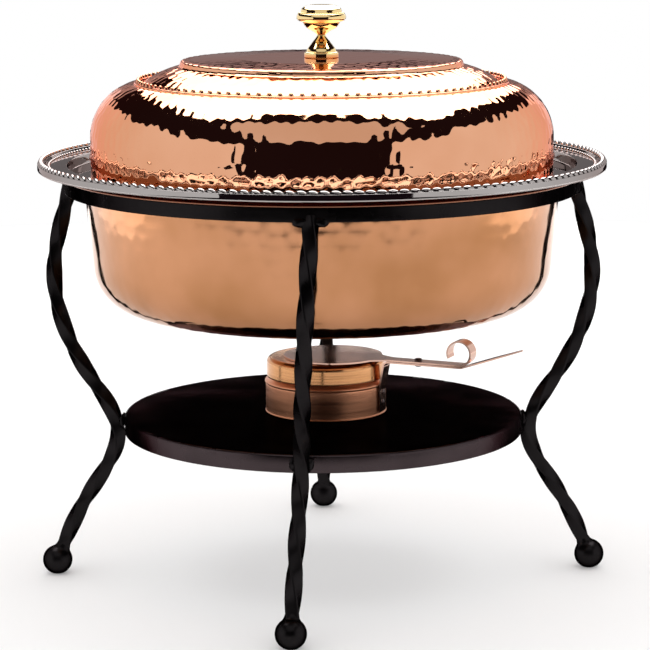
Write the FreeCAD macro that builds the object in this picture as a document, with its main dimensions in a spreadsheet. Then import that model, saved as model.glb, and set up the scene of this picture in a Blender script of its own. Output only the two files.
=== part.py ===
"""Round hammered-copper chafing dish on a wrought-iron stand.

Frame: millimetres, +Z up, floor at Z = 0, axis of the dish on Z.  The four legs stand on
+X, -X, +Y and -Y.  The burner stands a little off the axis, with its handle between the
right leg (+X) and the front leg (-Y).
"""
import FreeCAD, Part

import math
import os

import Sketcher
from FreeCAD import Placement, Rotation, Vector

SIZES = {
    # stand
    "ring_radius": 190.7, "ring_bar": 4.0, "ring_low": 293.3, "ring_top": 303.5,
    "leg_bar": 9.6, "leg_quarter_twist": 35.0, "leg_first_corner": 33.9,
    "leg_top_radius": 186.8, "leg_overrun": 4.1, "neck_radius": 195.9, "neck_height": 264.0,
    "bulge_radius": 200.7, "bulge_height": 236.0,
    "slope_radius": 177.0, "slope_height": 154.0,
    "waist_radius": 154.7, "waist_height": 108.0,
    "flare_radius": 177.5, "flare_height": 61.0,
    "foot_radius": 202.0, "ball_radius": 11.2, "ball_height": 10.2,
    "lean_right": 15.0, "lean_back": 8.3, "lean_left": 12.0, "lean_front": -14.5,
    "shelf_radius": 149.3, "shelf_top": 124.0, "shelf_skirt": 13.3, "shelf_plate": 1.6,
    "shelf_round": 2.5, "ring_weld_radius": 5.0, "shelf_weld_radius": 3.4,
    # water pan
    "pan_sheet": 1.2, "pan_bottom": 204.0, "pan_flat_radius": 134.6, "pan_knuckle": 36.0,
    "pan_side_radius": 170.45, "pan_side_height": 236.7, "pan_mouth_radius": 176.5,
    "pan_lip_radius": 192.2, "pan_lip_roll": 1.6,
    # food pan
    "well_radius": 166.0, "well_bottom": 236.0, "well_knuckle": 22.0, "well_mouth_round": 2.0,
    "seat_radius": 188.2, "seat_wall_flare": 1.3, "flange_radius": 205.6, "flange_low": 311.4,
    "rim_radius": 210.0, "hem_low": 309.3, "hem_top": 314.6, "hem_inner": 204.6,
    "hem_low_round": 1.2, "hem_top_round": 0.8, "hem_slope": 1.2,
    "rope_inset": 0.5, "rope_width": 4.4, "rope_crest": 317.2,
    # lid
    "lid_sheet": 1.2, "lid_radius": 171.0, "lid_shoulder_low": 332.0, "lid_shoulder": 41.0,
    "ledge_outer": 138.0, "ledge_inner": 131.5, "ledge_height": 372.2,
    "lid_bead_radius": 135.4, "lid_bead_width": 3.8, "lid_bead_crest": 375.8,
    "skirt_arc": 76.0, "skirt_radius": 106.5, "skirt_high": 383.4,
    "step_radius": 104.3, "step_height": 385.8, "step_hollow": 3.0, "step_round": 2.2,
    "plateau_radius": 102.4, "plateau_edge": 388.1, "plateau_flat": 60.0,
    "plateau_height": 389.5,
    # knob
    "knob_foot_radius": 12.6, "knob_bell_radius": 10.2, "knob_neck_radius": 2.9,
    "knob_neck_height": 406.2, "knob_lip_radius": 18.2, "knob_lip_low": 416.6,
    "knob_lip_high": 421.6, "knob_crown_radius": 13.4, "knob_top": 428.5,
    "knob_foot_high": 3.0, "knob_foot_round": 1.2, "knob_bell_high": 6.6,
    "knob_waist_high": 12.0, "knob_waist_flare": 3.2, "knob_waist_arc": 16.0,
    "knob_bowl_rise": 3.0, "knob_bowl_flare": 3.8, "knob_bowl_arc": 11.0,
    "knob_bowl_inset": 4.4, "knob_lip_slope": 1.4, "knob_lip_round": 1.0, "knob_groove": 0.9,
    "knob_crown_arc": 17.0, "knob_bore_deep": 7.0,
    "screw_radius": 2.0, "screw_clearance": 0.1, "screw_length": 8.8, "screw_tip": 0.6,
    "screw_head_radius": 4.2, "screw_head_high": 2.4, "screw_head_round": 1.4,
    "washer_radius": 7.5, "washer_thick": 1.0,
    # burner
    "burner_x": 2.0, "burner_y": 3.0, "handle_turn": -21.6,
    "cup_radius": 45.2, "cup_sheet": 0.8, "cup_band_low": 22.0, "cup_band_out": 0.3,
    "cup_band_turn": 1.6, "cup_band_high": 26.4,
    "cup_neck_radius": 43.2, "cup_neck_top": 33.0, "foot_bead": 0.7,
    "cap_radius": 44.4, "cap_shoulder": 4.0, "cap_low": 26.9, "cap_top": 41.6,
    "cap_mouth": 27.0, "cap_mouth_lip": 3.0,
    "can_radius": 41.0, "can_height": 36.0, "can_sheet": 0.6, "can_mouth": 17.0,
    "can_crimp": 1.4, "can_sunk": 2.0, "can_mouth_bead": 1.0,
    "strip_width": 12.0, "strip_thick": 1.2, "strip_low": 3.0, "strip_flat_top": 19.0,
    "strip_lean": 3.4, "strip_bend": 3.0, "tail_bend": 111.0, "tail_tip": 156.6,
    "tail_rise": 15.5, "tail_taper": 22.0,
    "rivet_radius": 1.25, "rivet_head_radius": 2.2, "rivet_head": 1.2,
    "rivet_low": 9.6, "rivet_high": 17.2, "rivet_clearance": 0.05, "rivet_tail": 0.5,
    "rivet_tail_gap": 0.2,
    "snuffer_radius": 37.0, "snuffer_shift": 6.0, "running_gap": 0.3,
    "arm_neck": 54.0, "arm_end": 107.0, "pivot_reach": 75.0,
    "pivot_radius": 1.6, "pivot_head_radius": 3.0, "pivot_head": 1.6, "pivot_head_flat": 1.8,
    "pivot_clearance": 0.08,
    "loop_centre": 109.0, "loop_radius": 9.6,
}

ROUND_RISE = 0.8           # height of a moulding's round top, as a share of half its width
ROUND_FACETS = 6           # flat facets over a moulding's round top
SLEEVE_SAMPLES = 600       # places tried along a leg for the one nearest a weld
SLEEVE_GAP = 0.4           # space left between the weld metal and a leg's corners
WELD_BESIDE_BAR = 0.5      # distance of a weld's centre from the bar's side, in weld radii
WELD_OUTSIDE_SHELF = 0.3   # distance of a weld's centre from the shelf's edge, in weld radii

doc = FreeCAD.newDocument("chafing_dish")
sheet = doc.addObject("Spreadsheet::Sheet", "sizes")


class Size:
    """A length that carries both its value and the sheet expression it comes from."""

    def __init__(self, text, value):
        self.text, self.value = text, value

    def _with(self, other, sign, value):
        return Size(f"({self.text} {sign} {text_of(other)})", value)

    def __add__(self, other):
        return self._with(other, "+", self.value + value_of(other))

    def __sub__(self, other):
        return self._with(other, "-", self.value - value_of(other))

    def __mul__(self, other):
        return self._with(other, "*", self.value * value_of(other))

    def __neg__(self):
        return Size(f"(-{self.text})", -self.value)


def text_of(length):
    return length.text if isinstance(length, Size) else f"{length:.6g}"


def value_of(length):
    return length.value if isinstance(length, Size) else float(length)


def fill_sheet():
    """Write one driving dimension to a row, and return them all as Size objects."""
    for row, (name, value) in enumerate(SIZES.items(), 1):
        sheet.set(f"A{row}", name)
        sheet.set(f"B{row}", str(value))
        sheet.setAlias(f"B{row}", name)
    doc.recompute()
    return {name: Size(f"sizes.{name}", value) for name, value in SIZES.items()}


D = fill_sheet()
nodes = {}


# ---------------------------------------------------------------- building blocks

def plane_of(body, role):
    return next(f for f in body.Origin.OriginFeatures if f.Role == role)


def new_body(name):
    body = doc.addObject("PartDesign::Body", name)
    body.Label = name
    nodes[name] = body
    return body


def new_sketch(body, role, name="Sketch"):
    sketch = body.newObject("Sketcher::SketchObject", f"{body.Name}_{name}")
    sketch.AttachmentSupport = [(plane_of(body, role), "")]
    sketch.MapMode = "FlatFace"
    return sketch


def bind_constraint(sketch, kind, where, length, name):
    """Add a distance or radius constraint whose value is an expression of the sheet."""
    index = sketch.addConstraint(Sketcher.Constraint(kind, *where, value_of(length)))
    sketch.renameConstraint(index, name)
    sketch.setExpression(f"Constraints.{name}", text_of(length))


def bulge_arc(start, end, radius):
    """Arc from start to end; the centre is on the left of the way along when radius > 0."""
    chord = end - start
    middle = (start + end) * 0.5
    left = Vector(-chord.y, chord.x, 0).normalize()
    rise = math.sqrt(max(radius ** 2 - (chord.Length / 2) ** 2, 0.0))
    centre = middle + left * math.copysign(rise, radius)
    a, b = start - centre, end - centre
    first, last = math.atan2(a.y, a.x), math.atan2(b.y, b.x)
    if radius < 0:
        first, last = last, first
    if last < first:
        last += 2 * math.pi
    return Part.ArcOfCircle(Part.Circle(centre, Vector(0, 0, 1), abs(radius)), first, last)


def draw_outline(sketch, points):
    """Closed outline.  A point is (across, up) or (across, up, arc radius to the next)."""
    corners = [Vector(value_of(p[0]), value_of(p[1]), 0) for p in points]
    ends = []
    for i, point in enumerate(points):
        start, end = corners[i], corners[(i + 1) % len(points)]
        if len(point) == 2:
            sketch.addGeometry(Part.LineSegment(start, end))
            ends.append((1, 2))
        else:
            sketch.addGeometry(bulge_arc(start, end, value_of(point[2])))
            ends.append((1, 2) if value_of(point[2]) > 0 else (2, 1))
    for i, point in enumerate(points):
        following = (i + 1) % len(points)
        sketch.addConstraint(Sketcher.Constraint(
            "Coincident", i, ends[i][1], following, ends[following][0]))
        if value_of(point[0]) == 0:
            sketch.addConstraint(Sketcher.Constraint("PointOnObject", i, ends[i][0], -2))
        else:
            bind_constraint(sketch, "DistanceX", (-1, 1, i, ends[i][0]), point[0], f"x{i}")
        if value_of(point[1]) == 0:
            sketch.addConstraint(Sketcher.Constraint("PointOnObject", i, ends[i][0], -1))
        else:
            bind_constraint(sketch, "DistanceY", (-1, 1, i, ends[i][0]), point[1], f"y{i}")
        if len(point) == 3:
            radius = point[2] if value_of(point[2]) > 0 else -point[2]
            bind_constraint(sketch, "Radius", (i,), radius, f"r{i}")


def revolve(body, points, name="Profile"):
    """Turn an outline of (radius, height) points round the body's own Z axis."""
    sketch = new_sketch(body, "XZ_Plane", name)
    draw_outline(sketch, points)
    turned = body.newObject("PartDesign::Revolution", f"{body.Name}_{name}_turned")
    turned.Profile = sketch
    turned.ReferenceAxis = (sketch, ["V_Axis"])
    turned.Angle = 360
    body.Tip = turned
    return turned


def turned_body(name, points):
    body = new_body(name)
    revolve(body, points)
    return body


def pad(body, role, points, length, name, start=None):
    """Pad an outline: both ways from its plane, or upwards from the height start."""
    sketch = new_sketch(body, role, name)
    draw_outline(sketch, points)
    return pad_sketch(body, sketch, length, name, start)


def pad_sketch(body, sketch, length, name, start=None):
    if start is not None:
        sketch.AttachmentOffset = Placement(Vector(0, 0, value_of(start)), Rotation())
        sketch.setExpression("AttachmentOffset.Base.z", text_of(start))
    padded = body.newObject("PartDesign::Pad", f"{body.Name}_{name}_pad")
    padded.Profile = sketch
    padded.SideType = "Symmetric" if start is None else "One side"
    padded.Length = value_of(length)
    padded.setExpression("Length", text_of(length))
    body.Tip = padded
    return padded


def circle_sketch(body, role, centre, radius, name):
    sketch = new_sketch(body, role, name)
    middle = Vector(value_of(centre[0]), value_of(centre[1]), 0)
    sketch.addGeometry(Part.Circle(middle, Vector(0, 0, 1), value_of(radius)))
    for kind, axis, length, label in (("DistanceX", -2, centre[0], "across"),
                                      ("DistanceY", -1, centre[1], "up")):
        if value_of(length) == 0:
            sketch.addConstraint(Sketcher.Constraint("PointOnObject", 0, 3, axis))
        else:
            bind_constraint(sketch, kind, (-1, 1, 0, 3), length, label)
    bind_constraint(sketch, "Radius", (0,), radius, "round")
    return sketch


def pocket(body, sketch, name, way=None):
    """Cut right through, both ways or one way along the sketch's normal, and check it cut."""
    doc.recompute()
    before = body.Shape.Volume
    cut = body.newObject("PartDesign::Pocket", f"{body.Name}_{name}_cut")
    cut.Profile = sketch
    cut.Type = "ThroughAll"
    if way is None:
        cut.SideType = "Symmetric"
    else:
        cut.Reversed = way == "along normal"
    body.Tip = cut
    doc.recompute()
    if not body.Shape.Volume < before - 0.01:
        raise RuntimeError(f"{body.Name}: {name} removed nothing")
    return cut


def stand_at_burner(body):
    """Put a body on the shelf at the burner's axis, its own X along the handle."""
    body.Placement = Placement(
        Vector(D["burner_x"].value, D["burner_y"].value, D["shelf_top"].value),
        Rotation(Vector(0, 0, 1), D["handle_turn"].value))
    for axis, length in (("x", D["burner_x"]), ("y", D["burner_y"]), ("z", D["shelf_top"])):
        body.setExpression(f"Placement.Base.{axis}", length.text)
    body.setExpression("Placement.Rotation.Angle", D["handle_turn"].text)


def coded_feature(name, shape, placement=None):
    feature = doc.addObject("Part::Feature", name)
    feature.Label = name
    feature.Shape = shape
    feature.Placement = placement or Placement()
    nodes[name] = feature
    return feature


def group_of_solids(solids):
    return Part.makeCompound([s for shape in solids for s in shape.Solids])


# ---------------------------------------------------------------- stand

def make_ring_hoop():
    """Flat bar rolled on edge into the hoop that carries the water pan."""
    outer, inner = D["ring_radius"], D["ring_radius"] - D["ring_bar"]
    turned_body("ring_hoop", [(inner, D["ring_low"]), (outer, D["ring_low"]),
                              (outer, D["ring_top"]), (inner, D["ring_top"])])


def make_shelf():
    """Round plate with a rounded edge and a skirt turned down all round."""
    top, plate, bend = D["shelf_top"], D["shelf_plate"], D["shelf_round"]
    outer, inner = D["shelf_radius"], D["shelf_radius"] - D["shelf_plate"]
    turned_body("shelf_plate", [
        (0, top - plate), (inner, top - plate), (inner, top - D["shelf_skirt"]),
        (outer, top - D["shelf_skirt"]), (outer, top - bend, bend), (outer - bend, top),
        (0, top)])


def leg_path():
    """Centre line of a leg in its own plane: X is the distance from the dish's axis."""
    stations = [(D["leg_top_radius"], D["ring_low"] + D["leg_overrun"]),
                (D["neck_radius"], D["neck_height"]), (D["bulge_radius"], D["bulge_height"]),
                (D["slope_radius"], D["slope_height"]), (D["waist_radius"], D["waist_height"]),
                (D["flare_radius"], D["flare_height"]), (D["foot_radius"], D["ball_height"])]
    curve = Part.BSplineCurve()
    curve.interpolate([Vector(radius.value, 0, height.value) for radius, height in stations])
    return curve


def lean_at(side, height):
    """How far a hand-bent leg stands to one side: none at the ring, all of it at the foot."""
    ring_low, foot = D["ring_low"].value, D["ball_height"].value
    return D[f"lean_{side}"].value * (ring_low - height) / (ring_low - foot)


def leg_section(side, curve, parameter, length_down):
    """Square across the path, turned so that the corners make a left-handed rope."""
    centre = curve.value(parameter)
    along = curve.tangent(parameter)[0].normalize()
    sideways = Vector(0, 1, 0)
    outward = sideways.cross(along) * -1
    turn = (length_down - D["leg_first_corner"].value) / D["leg_quarter_twist"].value
    corners = []
    for corner in range(4):
        angle = math.pi / 2 * (turn + corner)
        reach = D["leg_bar"].value / math.sqrt(2)
        corner_at = (centre + outward * (reach * math.cos(angle))
                     + sideways * (reach * math.sin(angle)))
        corners.append(corner_at + sideways * lean_at(side, corner_at.z))
    return Part.makePolygon(corners + corners[:1])


def twisted_bar(side):
    """Loft through the squares from above the ring's lower edge down into the ball."""
    curve = leg_path()
    length = curve.length()
    step_down = D["leg_quarter_twist"].value / 6
    count = round(length / step_down)
    lengths = [length * i / count for i in range(count + 1)]
    wires = [leg_section(side, curve, curve.parameterAtDistance(s, curve.FirstParameter), s)
             for s in lengths]
    return Part.makeLoft(wires, True, False)


def leg_shape(side):
    """The twisted bar, cut level below the ring, round the shelf and round the ball."""
    reach, ring_low = D["leg_bar"].value * 3, D["ring_low"].value
    above = Part.makeBox(reach, reach, reach,
                         Vector(D["leg_top_radius"].value - reach / 2, -reach / 2, ring_low))
    shelf = Part.makeCylinder(D["shelf_radius"].value, D["shelf_skirt"].value,
                              Vector(0, 0, D["shelf_top"].value - D["shelf_skirt"].value))
    ball = Part.makeSphere(D["ball_radius"].value,
                           Vector(D["foot_radius"].value, D[f"lean_{side}"].value,
                                  D["ball_height"].value))
    return twisted_bar(side).cut([above, shelf, ball])


def make_ball_foot(side, turn):
    """Ball with a small flat underneath, where it stands on the floor."""
    name = f"ball_foot_{side}"
    ball = doc.addObject("Part::Sphere", name)
    ball.Label = name
    ball.setExpression("Radius", D["ball_radius"].text)
    ball.setExpression("Angle1", f"-asin({D['ball_height'].text} / {D['ball_radius'].text})")
    across, along = round(math.cos(math.radians(turn))), round(math.sin(math.radians(turn)))
    radius, lean = D["foot_radius"], D[f"lean_{side}"]
    ball.setExpression("Placement.Base.x", text_of(radius * across - lean * along))
    ball.setExpression("Placement.Base.y", text_of(radius * along + lean * across))
    ball.setExpression("Placement.Base.z", D["ball_height"].text)
    nodes[name] = ball


def bar_sleeve(height, sideways):
    """Straight round bar that just encloses the right leg near this height."""
    curve = leg_path()
    first, last = curve.FirstParameter, curve.LastParameter
    samples = [first + (last - first) * i / SLEEVE_SAMPLES for i in range(SLEEVE_SAMPLES + 1)]
    nearest = min(samples, key=lambda parameter: abs(curve.value(parameter).z - height))
    centre, along = curve.value(nearest), curve.tangent(nearest)[0].normalize()
    half_length = D["leg_bar"].value * 2
    return Part.makeCylinder(D["leg_bar"].value / math.sqrt(2) + SLEEVE_GAP, half_length * 2,
                             centre - along * half_length + Vector(0, sideways, 0), along)


def weld_bead(size, radius, height, beside, lean, keep_out):
    """One ball of weld metal beside a leg, less the pieces that it joins.

    It is always cut on the -Y side, and mirrored when it belongs on the other one.
    """
    mirrored = lean + beside > 0
    way = -1 if mirrored else 1
    bead = Part.makeSphere(size, Vector(radius, (lean + beside) * way, height))
    bead = bead.cut([bar_sleeve(height, lean * way), keep_out])
    return bead.mirror(Vector(), Vector(0, 1, 0)) if mirrored else bead


def weld_beads(turns, size, radius, height, keep_out):
    """A weld bead on each side of each leg."""
    beside = D["leg_bar"].value / 2 + size * WELD_BESIDE_BAR
    beads = []
    for side, turn in turns.items():
        for way in (-1, 1):
            bead = weld_bead(size, radius, height, beside * way, lean_at(side, height), keep_out)
            beads.append(bead.rotated(Vector(), Vector(0, 0, 1), turn))
    return group_of_solids(beads)


def make_stand():
    make_ring_hoop()
    make_shelf()
    turns = {"right": 0, "back": 90, "left": 180, "front": -90}
    for side, turn in turns.items():
        placed = Placement(Vector(), Rotation(Vector(0, 0, 1), turn))
        coded_feature(f"leg_{side}", leg_shape(side), placed)
        make_ball_foot(side, turn)
    doc.recompute()
    coded_feature("ring_welds", weld_beads(
        turns, D["ring_weld_radius"].value,
        D["ring_radius"].value - D["ring_bar"].value / 2, D["ring_low"].value,
        nodes["ring_hoop"].Shape))
    coded_feature("shelf_welds", weld_beads(
        turns, D["shelf_weld_radius"].value,
        D["shelf_radius"].value + D["shelf_weld_radius"].value * WELD_OUTSIDE_SHELF,
        D["shelf_top"].value - D["shelf_skirt"].value / 2,
        Part.makeCylinder(D["shelf_radius"].value, D["shelf_top"].value)))


# ---------------------------------------------------------------- pans

def make_water_pan():
    """Copper pan: flat bottom, large knuckle, slightly flared side, flange, rolled edge."""
    skin = D["pan_sheet"]
    flange_low, roll = D["ring_top"], D["pan_lip_roll"]
    turned_body("water_pan", [
        (0, D["pan_bottom"]),
        (D["pan_flat_radius"], D["pan_bottom"], D["pan_knuckle"]),
        (D["pan_side_radius"], D["pan_side_height"]),
        (D["pan_mouth_radius"], flange_low),
        (D["pan_lip_radius"] - roll * 0.5, flange_low, roll * 0.51),
        (D["pan_lip_radius"] - roll * 0.5, flange_low + roll),
        (D["pan_lip_radius"] - roll, flange_low + skin),
        (D["pan_mouth_radius"] - skin, flange_low + skin),
        (D["pan_side_radius"] - skin, D["pan_side_height"], -(D["pan_knuckle"] - skin)),
        (D["pan_flat_radius"], D["pan_bottom"] + skin),
        (0, D["pan_bottom"] + skin)])


def make_food_pan():
    """Food pan in one piece: deep well, sunk seat for the lid, flat flange, turned-down hem."""
    skin, bend = D["pan_sheet"], D["well_knuckle"]
    seat, outer = D["ring_top"] + D["pan_sheet"], D["rim_radius"]
    wall_top = D["seat_radius"] + D["seat_wall_flare"]
    low_round, top_round = D["hem_low_round"], D["hem_top_round"]
    turned_body("food_pan", [
        (0, D["well_bottom"]),
        (D["well_radius"] - bend, D["well_bottom"], bend),
        (D["well_radius"], D["well_bottom"] + bend),
        (D["well_radius"], seat),
        (D["seat_radius"], seat),
        (wall_top, D["flange_low"]),
        (D["flange_radius"], D["flange_low"]),
        (D["flange_radius"], D["hem_low"]),
        (outer - low_round, D["hem_low"], low_round),
        (outer, D["hem_low"] + low_round),
        (outer, D["hem_top"] - top_round, top_round),
        (outer - top_round, D["hem_top"]),
        (D["hem_inner"], D["hem_top"]),
        (D["hem_inner"] - D["hem_slope"], D["flange_low"] + skin),
        (wall_top - skin, D["flange_low"] + skin),
        (D["seat_radius"] - skin, seat + skin),
        (D["well_radius"] + D["well_mouth_round"] - skin, seat + skin, D["well_mouth_round"]),
        (D["well_radius"] - skin, seat + skin - D["well_mouth_round"]),
        (D["well_radius"] - skin, D["well_bottom"] + bend, -(bend - skin)),
        (D["well_radius"] - bend, D["well_bottom"] + skin),
        (0, D["well_bottom"] + skin)])


def half_round(name, middle, width, low, crest):
    """Moulding with a faceted round top that stands on a flat ledge."""
    half = width * 0.5
    rise = half * ROUND_RISE
    turns = [math.pi * facet / ROUND_FACETS for facet in range(ROUND_FACETS + 1)]
    crown = [(middle + half * math.cos(turn), crest - rise + rise * math.sin(turn))
             for turn in turns]
    turned_body(name, [(middle + half, low), *crown, (middle - half, low)])


# ---------------------------------------------------------------- lid and knob

def make_lid():
    """Domed cover: upright side, round shoulder, ledge, domed skirt, step, raised top."""
    skin, seat = D["lid_sheet"], D["ring_top"] + D["pan_sheet"] * 2
    ledge, shoulder = D["ledge_height"], D["lid_shoulder"]
    hole = D["screw_radius"] + D["screw_clearance"]
    turned_body("lid_shell", [
        (D["lid_radius"] - skin, seat),
        (D["lid_radius"], seat),
        (D["lid_radius"], D["lid_shoulder_low"], shoulder),
        (D["ledge_outer"], ledge),
        (D["ledge_inner"], ledge, D["skirt_arc"]),
        (D["skirt_radius"], D["skirt_high"], -D["step_hollow"]),
        (D["step_radius"], D["step_height"], D["step_round"]),
        (D["plateau_radius"], D["plateau_edge"]),
        (D["plateau_flat"], D["plateau_height"]),
        (hole, D["plateau_height"]),
        (hole, D["plateau_height"] - skin),
        (D["plateau_flat"], D["plateau_height"] - skin),
        (D["plateau_radius"] - skin * 0.4, D["plateau_edge"] - skin),
        (D["step_radius"] - skin, D["step_height"] - skin * 0.5),
        (D["skirt_radius"] - skin * 1.6, D["skirt_high"] - skin * 0.4),
        (D["skirt_radius"] - skin * 0.25, D["skirt_high"] - skin, -(D["skirt_arc"] - skin)),
        (D["ledge_inner"] - skin * 0.4, ledge - skin),
        (D["ledge_outer"] - skin * 0.3, ledge - skin, -(shoulder - skin)),
        (D["lid_radius"] - skin, D["lid_shoulder_low"])])


def make_knob():
    """Turned knob: ringed foot, bell, thin neck, bowl, lip band and domed crown."""
    floor, bore = D["plateau_height"], D["screw_radius"] + D["screw_clearance"] * 0.5
    bored_to = floor + D["knob_bore_deep"]
    foot_round, lip_slope, groove = D["knob_foot_round"], D["knob_lip_slope"], D["knob_groove"]
    turned_body("knob", [
        (bore, floor),
        (D["knob_foot_radius"], floor),
        (D["knob_foot_radius"], floor + D["knob_foot_high"], foot_round),
        (D["knob_foot_radius"] - foot_round, floor + D["knob_foot_high"] + foot_round),
        (D["knob_bell_radius"], floor + D["knob_bell_high"]),
        (D["knob_neck_radius"] + D["knob_waist_flare"], floor + D["knob_waist_high"],
         -D["knob_waist_arc"]),
        (D["knob_neck_radius"], D["knob_neck_height"]),
        (D["knob_neck_radius"] + D["knob_bowl_flare"], D["knob_neck_height"] + D["knob_bowl_rise"],
         D["knob_bowl_arc"]),
        (D["knob_lip_radius"] - D["knob_bowl_inset"], D["knob_lip_low"] - D["knob_lip_round"]),
        (D["knob_lip_radius"] - lip_slope, D["knob_lip_low"]),
        (D["knob_lip_radius"], D["knob_lip_low"] + lip_slope),
        (D["knob_lip_radius"], D["knob_lip_high"] - lip_slope),
        (D["knob_crown_radius"] + groove, D["knob_lip_high"] + lip_slope * 0.85),
        (D["knob_crown_radius"], D["knob_lip_high"] + groove),
        (D["knob_crown_radius"] - groove, D["knob_lip_high"] + lip_slope, D["knob_crown_arc"]),
        (D["knob_lip_round"], D["knob_top"]),
        (0, D["knob_top"]),
        (0, bored_to),
        (bore, bored_to)])


def make_knob_screw():
    """Pan-head screw from inside the lid, with a broad washer under its head."""
    under_lid = D["plateau_height"] - D["lid_sheet"]
    head_top = under_lid - D["washer_thick"]
    head_low, head_round = head_top - D["screw_head_high"], D["screw_head_round"]
    tip = head_top + D["screw_length"]
    turned_body("knob_screw", [
        (0, head_low),
        (D["screw_head_radius"] - head_round, head_low, head_round),
        (D["screw_head_radius"], head_low + head_round),
        (D["screw_head_radius"], head_top),
        (D["screw_radius"], head_top),
        (D["screw_radius"], tip - D["screw_tip"]),
        (D["screw_radius"] - D["screw_tip"], tip),
        (0, tip)])
    hole = D["screw_radius"] + D["screw_clearance"]
    turned_body("knob_washer", [
        (hole, head_top), (D["washer_radius"], head_top),
        (D["washer_radius"], under_lid), (hole, under_lid)])


# ---------------------------------------------------------------- burner

def make_burner_cup():
    """Cup that holds the fuel can: small foot bead, upright side, rounded band, neck."""
    skin, outer, bead = D["cup_sheet"], D["cup_radius"], D["foot_bead"]
    body = turned_body("burner_cup", [
        (0, 0),
        (outer, 0),
        (outer + bead, bead),
        (outer, bead * 2),
        (outer, D["cup_band_low"]),
        (outer + D["cup_band_out"], D["cup_band_low"] + D["cup_band_turn"]),
        (D["cup_neck_radius"], D["cup_band_high"]),
        (D["cup_neck_radius"], D["cup_neck_top"]),
        (D["cup_neck_radius"] - skin, D["cup_neck_top"]),
        (D["cup_neck_radius"] - skin, D["cup_band_high"] - skin * 0.5),
        (outer - skin, D["cup_band_low"] + D["cup_band_turn"] - skin * 0.5),
        (outer - skin, skin),
        (0, skin)])
    rivet_holes(body)
    stand_at_burner(body)


def rivet_holes(body):
    """Two holes through the side that faces the handle."""
    for height in ("rivet_low", "rivet_high"):
        hole = circle_sketch(body, "YZ_Plane", (0, D[height]),
                             D["rivet_radius"] + D["rivet_clearance"], height)
        pocket(body, hole, height, "along normal")


def make_burner_cap():
    """Cap over the neck: upright band, rounded shoulder, flat top with a flame mouth."""
    skin, outer, bend = D["cup_sheet"], D["cap_radius"], D["cap_shoulder"]
    top = D["cap_top"]
    body = turned_body("burner_cap", [
        (outer - skin, D["cap_low"]),
        (outer, D["cap_low"]),
        (outer, top - bend, bend),
        (outer - bend, top),
        (D["cap_mouth"], top),
        (D["cap_mouth"], top - D["cap_mouth_lip"]),
        (D["cap_mouth"] + skin, top - D["cap_mouth_lip"]),
        (D["cap_mouth"] + skin, top - skin),
        (outer - bend, top - skin, -(bend - skin)),
        (outer - skin, top - bend)])
    stand_at_burner(body)


def make_fuel_can():
    """Fuel tin inside the cup, with a crimped top edge and an open mouth."""
    skin, floor, sunk = D["can_sheet"], D["cup_sheet"], D["can_sunk"]
    top, crimp = floor + D["can_height"], D["can_radius"] - D["can_crimp"]
    bead = D["can_mouth"] + D["can_mouth_bead"]
    body = turned_body("fuel_can", [
        (0, floor), (D["can_radius"], floor), (D["can_radius"], top), (crimp, top),
        (crimp, top - sunk), (bead, top - sunk), (bead, top - skin), (D["can_mouth"], top - skin),
        (D["can_mouth"], top - sunk - skin), (D["can_radius"] - skin, top - sunk - skin),
        (D["can_radius"] - skin, floor + skin), (0, floor + skin)])
    stand_at_burner(body)


def strip_outline():
    """Side view of the handle strip: flat on the cup, leaning out, level, tail upwards."""
    thick, wall, top = D["strip_thick"], D["cup_radius"], D["cap_top"]
    out = wall + D["strip_lean"]
    bend = D["strip_bend"]
    return [
        (wall, D["strip_low"]),
        (wall + thick, D["strip_low"]),
        (wall + thick, D["strip_flat_top"]),
        (out + thick, top - thick - bend, -bend),
        (out + thick + bend, top - thick),
        (D["tail_bend"], top - thick),
        (D["tail_tip"], top - thick + D["tail_rise"]),
        (D["tail_tip"], top + D["tail_rise"]),
        (D["tail_bend"], top),
        (out + bend, top, bend + thick),
        (out, top - bend),
        (wall, D["strip_flat_top"] + 0.4)]


def taper_outlines():
    """The two slivers that a point at the tail's end leaves on either side."""
    root, tip = D["tail_tip"] - D["tail_taper"], D["tail_tip"]
    half = D["strip_width"] * 0.5
    for side in (1, -1):
        yield [(root, half * side), (tip + 1, half * 0.12 * side), (tip + 1, half * 1.5 * side),
               (root, half * 1.5 * side)]


def make_handle_strip():
    body = new_body("handle_strip")
    pad(body, "XZ_Plane", strip_outline(), D["strip_width"], "strip")
    for number, outline in enumerate(taper_outlines()):
        sliver = new_sketch(body, "XY_Plane", f"taper{number}")
        draw_outline(sliver, outline)
        pocket(body, sliver, f"taper{number}")
    rivet_holes(body)
    hole = circle_sketch(body, "XY_Plane", (D["pivot_reach"], 0), D["pivot_radius"], "pivot")
    pocket(body, hole, "pivot")
    stand_at_burner(body)


def make_strip_rivets():
    """Two round-headed rivets along the handle's direction, through strip and cup."""
    face = D["cup_radius"].value + D["strip_thick"].value
    inside = D["cup_radius"].value - D["cup_sheet"].value - D["rivet_tail_gap"].value
    along, head = Vector(1, 0, 0), D["rivet_head"].value
    dome = (D["rivet_head_radius"].value ** 2 + head ** 2) / (2 * head)
    rivets = []
    for height in (D["rivet_low"].value, D["rivet_high"].value):
        shank = Part.makeCylinder(D["rivet_radius"].value, face - inside,
                                  Vector(inside, 0, height), along)
        ball = Part.makeSphere(dome, Vector(face + head - dome, 0, height))
        keep = Part.makeCylinder(D["rivet_head_radius"].value * 2, dome,
                                 Vector(face, 0, height), along)
        tail = Part.makeCylinder(D["rivet_head_radius"].value, D["rivet_tail"].value,
                                 Vector(inside - D["rivet_tail"].value, 0, height), along)
        rivets.append(shank.fuse([ball.common(keep), tail]).removeSplitter())
    placed = Placement(
        Vector(D["burner_x"].value, D["burner_y"].value, D["shelf_top"].value),
        Rotation(Vector(0, 0, 1), D["handle_turn"].value))
    coded_feature("strip_rivets", group_of_solids(rivets), placed)


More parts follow.
